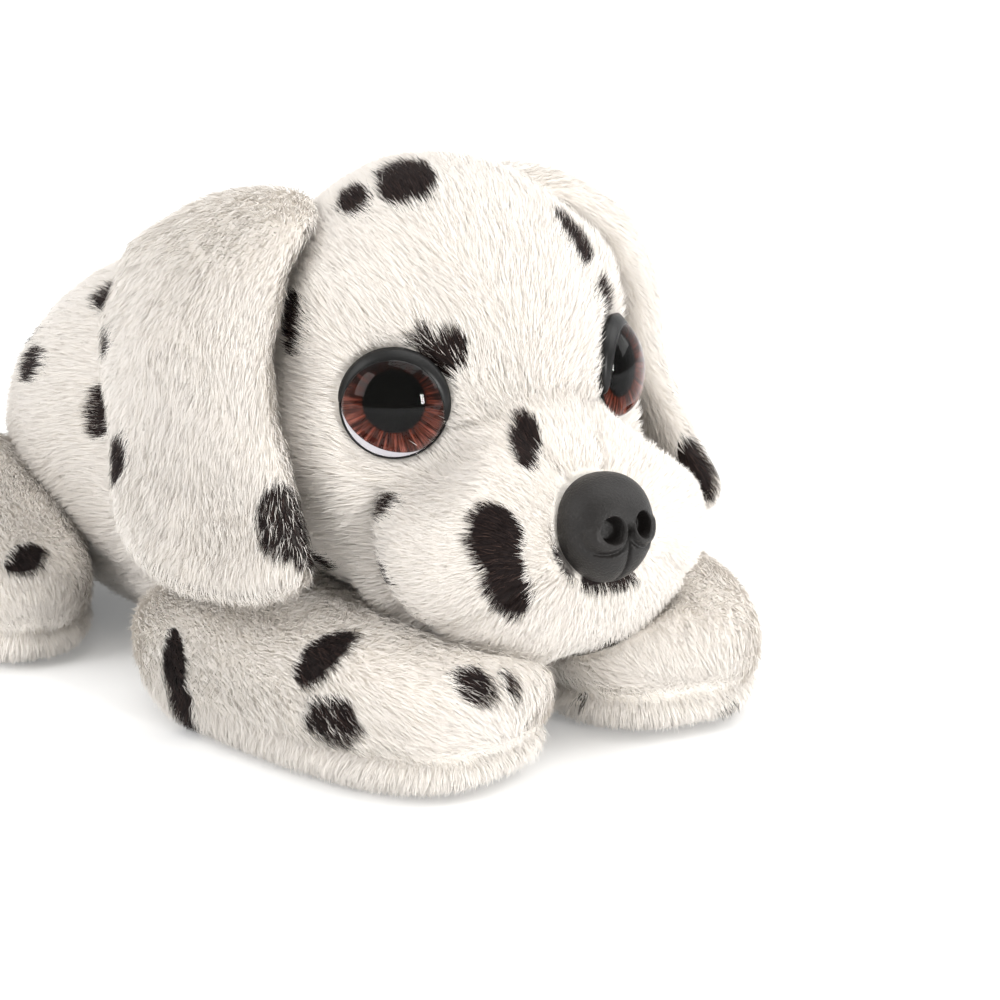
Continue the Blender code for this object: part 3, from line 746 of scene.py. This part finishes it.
def tail_skin():
    directions, faces = ball(FINE_TAIL)
    down = np.arccos(np.clip(directions[:, 2], -1.0, 1.0)) / math.pi
    here = along_line(TAIL_LINE, down)
    swell = np.maximum(np.sin(math.pi * down), 0.0) ** 0.38
    flat = np.maximum(np.hypot(directions[:, 0], directions[:, 1]), 1e-6)
    radius = (here[:, 3] - 2.6) * swell
    sideways = directions[:, 0] / flat * radius
    upward = directions[:, 1] / flat * radius
    points = np.stack([sideways, here[:, 1] + 0.45 * upward - np.cos(math.pi * down) * 4.0,
                       here[:, 2] + 0.89 * upward], axis=1)
    points[:, 2] = np.maximum(points[:, 2], 1.0)
    return points, faces


# ---------------------------------------------------------------- spots

# Each spot: where it lies, its long direction, its half length and half width, and how solid it is.
SPOTS = {
    "head": [
        ((-15.0, -93.0, 146.5), (0.6, 0.8, 0.1), (12.5, 8.0), 1.0),
        ((-28.0, -85.0, 141.0), (-0.1, -0.8, -0.6), (9.0, 4.4), 1.0),
        ((24.0, -111.0, 127.0), (0.4, -0.4, -0.8), (8.0, 6.0), 1.0),
        ((31.0, -115.0, 113.0), (0.3, 0.1, -0.9), (6.5, 3.4), 1.0),
        ((-50.0, -90.0, 113.0), (-0.1, -0.3, -1.0), (9.5, 3.8), 1.0),
        ((-23.0, -121.0, 105.0), (-0.3, 0.3, -0.9), (8.5, 5.0), 0.92),
        ((-28.0, -118.0, 109.0), (0.5, -0.4, -0.7), (3.5, 2.6), 0.8),
        ((-12.0, -140.5, 85.0), (-0.4, -0.7, -0.6), (9.5, 3.8), 1.0),
        ((-30.0, -151.0, 66.0), (0.0, -0.2, -1.0), (8.5, 7.5), 1.0),
        ((-27.0, -153.0, 54.0), (0.3, -0.2, -0.9), (10.0, 5.8), 1.0),
        ((-42.0, -122.0, 70.0), (-0.5, -0.3, -0.8), (5.5, 2.8), 1.0),
        ((-43.0, -130.0, 53.0), (0.2, 0.1, -1.0), (6.0, 3.0), 1.0),
        ((-39.0, -131.0, 42.0), (0.4, -0.9, -0.3), (5.0, 2.6), 1.0),
        ((12.0, -145.0, 31.0), (0.9, 0.0, 0.2), (6.0, 2.4), 1.0),
        ((44.0, -128.0, 72.0), (0.0, -0.8, -0.5), (4.0, 1.6), 0.9),
        ((-46.0, -97.0, 49.0), (0.1, -1.0, -0.1), (6.0, 3.2), 1.0),
        ((2.0, -155.0, 50.5), (1.0, 0.0, -0.1), (9.0, 2.6), 0.95),
        ((-11.5, -153.0, 56.0), (0.5, 0.0, -0.8), (6.0, 1.8), 0.8),
        ((53.0, -92.0, 66.0), (0.0, 0.6, -0.8), (8.0, 5.0), 1.0),
        ((51.0, -80.0, 104.0), (0.0, 0.3, -1.0), (7.0, 4.0), 1.0),
        ((14.0, -52.0, 142.0), (0.9, 0.3, 0.0), (8.0, 6.0), 1.0),
        ((-24.0, -48.0, 134.0), (0.5, 0.6, -0.6), (7.0, 5.0), 1.0),
        ((-6.0, -35.0, 118.0), (0.8, 0.0, -0.6), (8.0, 5.5), 1.0),
    ],
    "torso": [
        ((18.0, -18.0, 92.0), (1.0, 0.3, 0.0), (9.0, 6.0), 1.0),
        ((-24.0, 4.0, 98.0), (0.4, 1.0, 0.0), (10.0, 6.5), 1.0),
        ((8.0, 30.0, 106.0), (1.0, 0.2, 0.0), (8.0, 10.0), 1.0),
        ((-36.0, 38.0, 98.0), (0.0, 1.0, -0.3), (11.0, 7.0), 1.0),
        ((38.0, 50.0, 98.0), (0.5, 1.0, 0.0), (9.0, 6.0), 1.0),
        ((0.0, 68.0, 106.0), (1.0, 0.4, 0.0), (7.0, 9.0), 1.0),
        ((-20.0, 92.0, 94.0), (1.0, -0.4, 0.0), (9.0, 6.0), 1.0),
        ((26.0, 100.0, 82.0), (0.6, 0.5, -0.6), (8.0, 6.0), 1.0),
        ((-57.0, 8.0, 72.0), (0.0, 0.3, 1.0), (10.0, 6.0), 1.0),
        ((-59.0, 62.0, 78.0), (0.0, 1.0, 0.3), (9.0, 6.0), 1.0),
        ((58.0, 10.0, 66.0), (0.0, 0.8, 0.6), (10.0, 6.5), 1.0),
        ((60.0, 72.0, 76.0), (0.0, 0.4, -0.9), (9.0, 5.5), 1.0),
        ((-34.0, 112.0, 62.0), (0.8, 0.4, -0.5), (8.0, 5.5), 1.0),
        ((52.0, -18.0, 50.0), (0.3, -0.5, -0.8), (9.0, 5.0), 1.0),
        ((-52.0, -20.0, 46.0), (-0.3, -0.5, -0.8), (9.0, 5.5), 1.0),
        ((-2.0, -2.0, 99.0), (1.0, 0.0, 0.0), (3.6, 2.8), 0.9),
        ((34.0, 16.0, 96.0), (0.5, 1.0, 0.0), (4.4, 3.4), 1.0),
        ((-12.0, 50.0, 108.0), (0.2, 1.0, 0.0), (4.6, 3.2), 0.9),
        ((-48.0, 82.0, 84.0), (0.5, 0.8, 0.0), (5.0, 3.6), 1.0),
        ((46.0, 88.0, 82.0), (0.5, -0.8, 0.0), (4.6, 4.0), 0.9),
        ((10.0, 117.0, 70.0), (1.0, 0.0, 0.0), (4.4, 3.4), 1.0),
    ],
    "tail": [
        ((7.0, 144.0, 46.0), (0.2, 0.9, -0.5), (8.0, 5.0), 1.0),
        ((-8.0, 164.0, 28.0), (0.0, 0.8, -0.6), (7.0, 5.0), 1.0),
        ((3.0, 186.0, 18.0), (1.0, 0.0, 0.0), (7.0, 6.0), 1.0),
    ],
    "ear_left": [
        ((66.0, -118.0, 64.0), (0.0, -0.5, -0.9), (9.5, 5.6), 1.0),
        ((74.0, -72.0, 104.0), (0.1, 0.4, -0.9), (9.0, 6.0), 1.0),
        ((60.0, -42.0, 126.0), (0.6, 0.5, -0.6), (6.0, 4.5), 1.0),
        ((80.0, -58.0, 62.0), (0.0, 0.7, -0.7), (8.0, 6.0), 0.85),
    ],
    "ear_right": [
        ((-63.0, -54.0, 122.0), (-0.3, 0.5, -0.8), (6.5, 3.6), 1.0),
        ((-67.0, -114.0, 70.0), (0.0, -0.5, -0.85), (11.0, 8.0), 0.85),
        ((-77.0, -42.0, 72.0), (0.0, 0.6, -0.8), (9.0, 6.0), 1.0),
        ((-72.0, -38.0, 104.0), (0.0, 0.9, -0.3), (5.0, 4.0), 0.9),
    ],
    "foreleg_left": [
        ((80.0, -84.0, 22.0), (0.0, 0.6, -0.8), (10.0, 6.0), 1.0),
        ((70.0, -62.0, 36.0), (0.8, 0.5, 0.0), (7.0, 5.0), 1.0),
        ((78.0, -118.0, 26.0), (0.0, 1.0, 0.2), (7.0, 4.5), 0.9),
        ((42.0, -157.0, 7.5), (1.0, 0.1, 0.2), (4.4, 1.3), 0.95),
        ((11.0, -136.0, 9.0), (0.3, -1.0, 0.2), (2.0, 1.2), 0.95),
    ],
    "foreleg_right": [
        ((-79.0, -71.0, 20.0), (0.0, 0.0, -1.0), (10.0, 5.2), 1.0),
        ((-79.0, -74.0, 8.0), (0.1, -0.2, -1.0), (9.0, 5.0), 1.0),
        ((-66.0, -123.0, 35.0), (-0.8, 0.1, -0.6), (10.5, 5.4), 1.0),
        ((-70.0, -131.0, 20.0), (0.5, -0.85, 0.2), (9.5, 6.6), 0.92),
        ((-41.5, -155.5, 32.0), (0.3, -0.7, -0.6), (6.2, 5.2), 0.92),
        ((-30.3, -156.5, 30.0), (-0.3, -0.6, -0.8), (3.8, 2.6), 0.9),
    ],
    "hindleg_left": [
        ((104.0, 22.0, 24.0), (0.0, 0.8, 0.6), (9.0, 6.0), 1.0),
        ((94.0, 58.0, 42.0), (0.7, 0.7, 0.0), (9.0, 6.5), 1.0),
        ((82.0, 96.0, 32.0), (1.0, 0.0, 0.0), (8.0, 5.0), 1.0),
        ((74.0, 14.0, 42.0), (0.6, 0.8, 0.0), (5.0, 4.0), 0.9),
        ((104.0, 78.0, 18.0), (0.0, 0.6, 0.8), (7.0, 4.0), 1.0),
    ],
    "hindleg_right": [
        ((-104.0, 34.0, 30.0), (0.0, 0.6, -0.8), (10.0, 6.0), 1.0),
        ((-92.0, 72.0, 42.0), (-0.6, 0.8, 0.0), (9.0, 7.0), 1.0),
        ((-88.0, 6.0, 30.0), (0.8, 0.5, 0.4), (7.0, 5.0), 1.0),
        ((-76.0, 98.0, 30.0), (1.0, 0.3, 0.4), (7.0, 5.0), 0.9),
        ((-106.0, 60.0, 12.0), (0.0, 1.0, 0.0), (5.0, 3.6), 1.0),
    ],
}


# ---------------------------------------------------------------- eyes and nose

DISC_SIDES = 64
SHARP_FROM = 40.0
JOIN_WITHIN = 0.000001  # metres


def local_frame(centre, out):
    """A matrix with +Z outward and +Y as near to up as it can be."""
    z = Vector(out)
    x = Vector((0.0, 0.0, 1.0)).cross(z).normalized()
    y = z.cross(x)
    turn = Matrix((x, y, z)).transposed().to_4x4()
    return Matrix.Translation(Vector(centre) * MM) @ turn


def iris_material(side, away):
    """The printed iris: a dark pupil, a rayed brown ring, and a pale crescent on its outer low side; its
    top is darkened under the lid by painted shade.
    """
    made = principled(f"iris_print_and_painted_shade_{side}", (0.2, 0.05, 0.04), 0.6, Specular_IOR_Level=0.0)
    tree = made.node_tree
    shader = tree.nodes["Principled BSDF"]
    place = node(tree, "ShaderNodeTexCoord").outputs["Object"]
    split = node(tree, "ShaderNodeSeparateXYZ")
    tree.links.new(place, split.inputs[0])
    x = math_node(tree, "MULTIPLY", split.outputs["X"], 1.0 / (EYE_RADIUS * MM))
    y = math_node(tree, "MULTIPLY", split.outputs["Y"], 1.0 / (EYE_RADIUS * MM))
    y_iris = math_node(tree, "SUBTRACT", y, 0.06)
    radius = length_node(tree, x, y_iris)
    angle = math_node(tree, "ARCTAN2", y_iris, x)
    ray = node(tree, "ShaderNodeCombineXYZ")
    tree.links.new(math_node(tree, "COSINE", angle), ray.inputs["X"])
    tree.links.new(math_node(tree, "SINE", angle), ray.inputs["Y"])
    tree.links.new(math_node(tree, "MULTIPLY", radius, 0.10), ray.inputs["Z"])
    streak = node(tree, "ShaderNodeTexNoise")
    streak.inputs["Scale"].default_value = 8.0
    streak.inputs["Detail"].default_value = 6.0
    streak.inputs["Roughness"].default_value = 0.7
    tree.links.new(ray.outputs[0], streak.inputs["Vector"])
    band = ramp(tree, radius, [
        (0.0, (0.001, 0.001, 0.001)),
        (0.53, (0.001, 0.001, 0.001)),
        (0.57, (0.048, 0.011, 0.006)),
        (0.68, (0.062, 0.018, 0.012)),
        (0.84, (0.085, 0.032, 0.026)),
        (0.93, (0.045, 0.020, 0.018)),
        (0.97, (0.03, 0.02, 0.02)),
    ])
    lines = ramp(tree, streak.outputs["Fac"],
                 [(0.42, (0.15, 0.13, 0.13)), (0.5, (0.9, 0.85, 0.8)), (0.60, (3.4, 3.0, 2.8))])
    mixed = node(tree, "ShaderNodeMix", data_type="RGBA", blend_type="MULTIPLY")
    mixed.inputs["Factor"].default_value = 0.85
    tree.links.new(band, mixed.inputs[6])
    tree.links.new(lines, mixed.inputs[7])
    # A pale crescent low on the rim, and painted shade that darkens the top under the lid.
    low = math_node(tree, "ADD", math_node(tree, "MULTIPLY", y, -0.72),
                    math_node(tree, "MULTIPLY", x, 0.35 * away))
    edge = math_node(tree, "SUBTRACT", length_node(tree, x, y), 0.80)
    widening = math_node(tree, "MULTIPLY", math_node(tree, "SUBTRACT", low, 0.62), 0.55)
    outside = math_node(tree, "GREATER_THAN", math_node(tree, "ADD", edge, widening), 0.0)
    crescent = math_node(tree, "MULTIPLY", outside, math_node(tree, "GREATER_THAN", low, 0.28))
    pale = node(tree, "ShaderNodeMix", data_type="RGBA")
    tree.links.new(crescent, pale.inputs["Factor"])
    tree.links.new(mixed.outputs[2], pale.inputs[6])
    pale.inputs[7].default_value = (0.48, 0.47, 0.50, 1.0)
    # painted shade: the iris colour grows darker towards its top, where the lid would shade it
    painted_lid_shade = ramp(tree, y, [(0.10, (1.0, 1.0, 1.0)), (0.62, (0.10, 0.09, 0.09))])
    shaded = node(tree, "ShaderNodeMix", data_type="RGBA", blend_type="MULTIPLY")
    shaded.inputs["Factor"].default_value = 1.0
    tree.links.new(pale.outputs[2], shaded.inputs[6])
    tree.links.new(painted_lid_shade, shaded.inputs[7])
    tree.links.new(shaded.outputs[2], shader.inputs["Base Color"])
    return made


def close_ends(thing):
    """Fills a piece's open ends and turns all its faces outwards."""
    bm = bmesh.new()
    bm.from_mesh(thing.data)
    bmesh.ops.remove_doubles(bm, verts=bm.verts, dist=JOIN_WITHIN)
    bmesh.ops.holes_fill(bm, edges=bm.edges)
    bmesh.ops.recalc_face_normals(bm, faces=bm.faces)
    bm.to_mesh(thing.data)
    bm.free()
    thing.data.shade_smooth()


def disc_piece(name, rings, place, material):
    """A turned piece from (radius, height) rings, centre first."""
    points, faces = [], []
    around = DISC_SIDES
    for radius, height in rings:
        for k in range(around):
            angle = 2.0 * math.pi * k / around
            points.append((radius * math.cos(angle), radius * math.sin(angle), height))
    for low in range(len(rings) - 1):
        for k in range(around):
            after = (k + 1) % around
            faces.append((low * around + k, (low + 1) * around + k,
                          (low + 1) * around + after, low * around + after))
    thing = add_mesh(name, np.array(points), np.array(faces), [material])
    close_ends(thing)
    thing.data.set_sharp_from_angle(angle=math.radians(SHARP_FROM))
    thing.matrix_world = place
    return thing


# Profiles of the eye's pieces, as (radius past EYE_RADIUS, or None for the middle, and height).
CUP_PROFILE = [(None, 0.1), (0.0, 0.1), (0.4, 0.8), (0.4, 2.0),
               (0.1, 2.4), (-0.1, 2.0), (-0.1, 0.7), (None, 0.7)]
IRIS_PROFILE = [(None, 1.7), (-0.7, 1.7), (-0.7, 1.95), (-4.0, 2.05), (None, 2.1)]
DOME_EDGE = 2.2
DOME_RISE = 8.3


def turned_profile(profile):
    return [(0.0 if past is None else EYE_RADIUS + past, height) for past, height in profile]


def make_eyes(black, glass):
    for side, sign in SIDES.items():
        centre, out, _ = SEATS[0 if side == "left" else 1]
        place = local_frame(centre, out)
        cup = disc_piece(f"eye_cup_{side}", turned_profile(CUP_PROFILE), place, black)
        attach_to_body(cup, "head")
        iris = disc_piece(f"iris_{side}", turned_profile(IRIS_PROFILE), place, iris_material(side, sign))
        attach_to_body(iris, "head")
        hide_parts(f"iris_disc_{side}")
        arc = turned_profile([(None, 1.0), (-0.4, 1.0)])
        for a in np.linspace(0.0, math.pi / 2, 24):
            arc.append(((EYE_RADIUS - 0.25) * math.cos(a), DOME_EDGE + DOME_RISE * math.sin(a)))
        dome = disc_piece(f"eye_dome_{side}", arc, place, glass)
        dome.visible_shadow = False
        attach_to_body(dome, "head")
        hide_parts(f"eye_lens_{side}")
        make_eyelid(side, sign, centre, out, black)


LID_CELLS = (72, 14)  # along the hood and round it
LID_LEAN = 10.0
LID_SWEEP = 196.0


def make_eyelid(side, sign, centre, out, black):
    """A moulded hood round the top of the dome, thick in the middle and thin at its corners."""
    sweeps, turns = LID_CELLS
    points = []
    for i in range(sweeps):
        part = i / (sweeps - 1)
        sweep = math.radians(90.0 + sign * LID_LEAN + LID_SWEEP * (part - 0.5))
        fade = math.sin(math.pi * part) ** 0.45
        tall = 0.4 + 1.9 * fade
        thick = 0.25 + 0.8 * fade
        for k in range(turns):
            angle = 2.0 * math.pi * k / turns
            ring = EYE_RADIUS + 0.1 + thick * math.cos(angle) - 2.2 * fade * max(math.sin(angle), 0.0)
            height = 2.4 + 1.6 * fade + tall * math.sin(angle)
            points.append((ring * math.cos(sweep), ring * math.sin(sweep), height))
    faces = [(i * turns + k, (i + 1) * turns + k,
              (i + 1) * turns + (k + 1) % turns, i * turns + (k + 1) % turns)
             for i in range(sweeps - 1) for k in range(turns)]
    lid = add_mesh(f"eyelid_hood_{side}", np.array(points), np.array(faces), [black])
    close_ends(lid)
    lid.matrix_world = local_frame(centre, out)
    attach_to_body(lid, "head")
    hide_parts(f"eyelid_{side}")


NOSE_HALF_WIDTH = 13.6
NOSE_HALF_HEIGHT = 14.3
NOSE_DEPTH = 12.0


def make_nose(material):
    centre, out, _ = SEATS[2]
    directions, faces = ball(FINE)
    x, y, z = directions.T
    wide = NOSE_HALF_WIDTH * (1.0 - 0.20 * smooth_step(-y, 0.0, 1.0) + 0.02 * smooth_step(y, 0.2, 0.9))
    flat_top = np.sign(y) * np.abs(y) ** 0.88
    points = np.stack([np.sign(x) * np.abs(x) ** 0.9 * wide, flat_top * NOSE_HALF_HEIGHT - 0.3,
                       np.maximum(z, -0.12) * NOSE_DEPTH + 1.6], axis=1)
    front = smooth_step(z, 0.15, 0.45)
    px, py = np.abs(points[:, 0]), points[:, 1]
    # Nostrils: a deep hole, a raised wing outside it, and a curved groove under the wing.
    hole = smooth_step(1.2 - np.hypot((px - 4.8) / 2.9, (py - 0.2) / 3.2), 0.0, 0.5)
    around = np.hypot((px - 6.0) / 1.05, py + 0.3)
    under = np.exp(-(((around - 5.5) / 0.75) ** 2)) * smooth_step(1.6 - py, 0.0, 2.2)
    wing = np.exp(-(((around - 3.7) / 1.2) ** 2)) * smooth_step(2.4 - py, 0.0, 2.0)
    cleft = np.exp(-((points[:, 0] / 0.5) ** 2)) * smooth_step(1.0 - py, 0.0, 3.0)
    dish = np.exp(-((points[:, 0] / 2.0) ** 2)) * smooth_step(4.0 - py, 0.0, 5.0)
    points[:, 2] += front * (-4.8 * hole - 1.2 * under + 1.0 * wing - 1.3 * cleft - 0.6 * dish)
    nose = add_mesh("nose_shell", points, faces, [material])
    nose.matrix_world = local_frame(centre, out)
    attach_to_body(nose, "head")
    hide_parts("nose_moulding")


# ---------------------------------------------------------------- putting it together

def away_from(point, downward=0.0):
    """A flow that runs away from a point along the surface."""
    def flow(root, normal):
        run = unit(root - np.array(point))
        run[:, 2] -= downward
        return run
    return flow


def ear_flow(sign):
    """Down the ear from its root, and a little towards its nearer long edge."""
    def flow(root, normal):
        run = unit(root - np.array((sign * 18.0, -62.0, 158.0)))
        run[:, 1] += 0.006 * (root[:, 1] + 66.0)
        return run
    return flow


def run_back(root, normal):
    run = np.tile((0.0, 1.0, -0.25), (len(root), 1))
    run[:, 0] = 0.006 * root[:, 0]
    return run


def leg_flow(leg, sign):
    lean = math.radians(leg["slant"])

    def flow(root, normal):
        run = np.tile((math.sin(lean) * sign, -math.cos(lean), -0.35), (len(root), 1))
        low = smooth_step(14.0 - root[:, 2], 0.0, 3.0)[:, None]
        return run * (1.0 - low) + np.array((0.0, 0.0, -1.0)) * low
    return flow


def off_seats(points):
    keep = np.ones(len(points))
    for centre, out, radius in SEATS:
        away = points - centre
        height = away @ out
        aside = np.linalg.norm(away - height[:, None] * out, axis=1)
        keep[(aside < radius - 0.6) & (np.abs(height) < 12.0)] = 0.0
    return keep


def head_keep(points):
    hidden = (points[:, 1] > -62.0) & (points[:, 2] < 80.0)
    return off_seats(points) * np.where(hidden, 0.0, 1.0)


def head_length(root):
    muzzle = smooth_step(-root[:, 1], 118.0, 140.0)
    return 6.6 - 2.0 * muzzle


def torso_keep(points):
    front = np.linalg.norm(points - SKULL_CENTRE, axis=1) < 55.0
    below = points[:, 2] < 1.6
    return np.where(front | below, 0.0, 1.0)


def leg_keep(points):
    return np.where(points[:, 2] < 1.4, 0.0, 1.0)


def make_plastics():
    """The eyes and the nose, and a material for each CAD part that stays as it is, inside the cover."""
    black = mottled("black_moulding", (0.005, 0.005, 0.005), (0.003, 0.003, 0.003), 90.0, 0.36, 0.15,
                    1400.0, Specular_IOR_Level=0.3)
    nose_plastic = mottled("charcoal_moulding", (0.013, 0.011, 0.010), (0.008, 0.007, 0.0065), 120.0,
                           0.46, 0.6, 1500.0, Specular_IOR_Level=0.35)
    glass = principled("clear_dome", (1.0, 1.0, 1.0), 0.015, Transmission_Weight=1.0, IOR=1.25)
    make_eyes(black, glass)
    make_nose(nose_plastic)
    fitting = mottled("white_fitting", (0.78, 0.77, 0.74), (0.66, 0.65, 0.62), 60.0, 0.45, 0.3, 900.0)
    pouch = mottled("pouch_cloth", (0.80, 0.78, 0.72), (0.64, 0.61, 0.55), 260.0, 0.88, 0.7, 2400.0)
    kept = {"nose_washer": fitting, "pellet_pouch": pouch}
    for side in SIDES:
        kept[f"eye_back_{side}"] = black
        kept[f"eye_washer_{side}"] = fitting
    for name, material in kept.items():
        mesh = bpy.data.objects[name].data
        mesh.materials.clear()
        mesh.materials.append(material)


def plush_bodies():
    """Each body's skin, the CAD nodes it replaces, strands per square mm, their length, flow and keep."""
    bodies = {
        "head": (head_skin(), ["crown_panel", "muzzle_bridge_panel", "chin_panel", "face_side_left",
                               "face_side_right", "muzzle_side_left", "muzzle_side_right", "head_stuffing"],
                 5.2, head_length, away_from((0.0, -166.0, 62.0), 0.10), head_keep),
        "torso": (torso_skin(), ["back_panel_left", "back_panel_right", "belly_panel", "torso_stuffing"],
                  2.8, 8.0, run_back, torso_keep),
        "tail": (tail_skin(), ["tail_cover", "tail_stuffing"],
                 3.6, 6.5, away_from((0.0, 100.0, 60.0)), leg_keep),
    }
    for side, sign in SIDES.items():
        bodies[f"ear_{side}"] = (ear_skin(sign), [f"ear_{side}_outer", f"ear_{side}_lining"],
                                 4.4, 6.4, ear_flow(sign), None)
        for kind, leg in (("foreleg", FORELEG), ("hindleg", HINDLEG)):
            body = f"{kind}_{side}"
            bodies[body] = (leg_skin(leg, sign, kind == "foreleg"),
                            [f"{body}_cover", f"{body}_sole", f"{body}_stuffing"],
                            4.2, 6.6, leg_flow(leg, sign), leg_keep)
    return bodies


def make_plush(skin_cloth, strands):
    for body, (skin, nodes, density, length, flow, keep) in plush_bodies().items():
        points, faces = skin
        cover = add_mesh(f"{body}_skin", points, faces, [skin_cloth])
        mark_spots(cover, points, SPOTS[body])
        attach(cover, body)
        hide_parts(*nodes)
        grow_fur(f"{body}_fur", body, skin, density, length, flow, SPOTS[body], strands, keep)


def main():
    make_camera()
    make_light()
    make_floor()
    find_seats()
    skin_cloth = backing_material()
    strands = strand_materials()
    make_plastics()
    make_plush(skin_cloth, strands)


main()
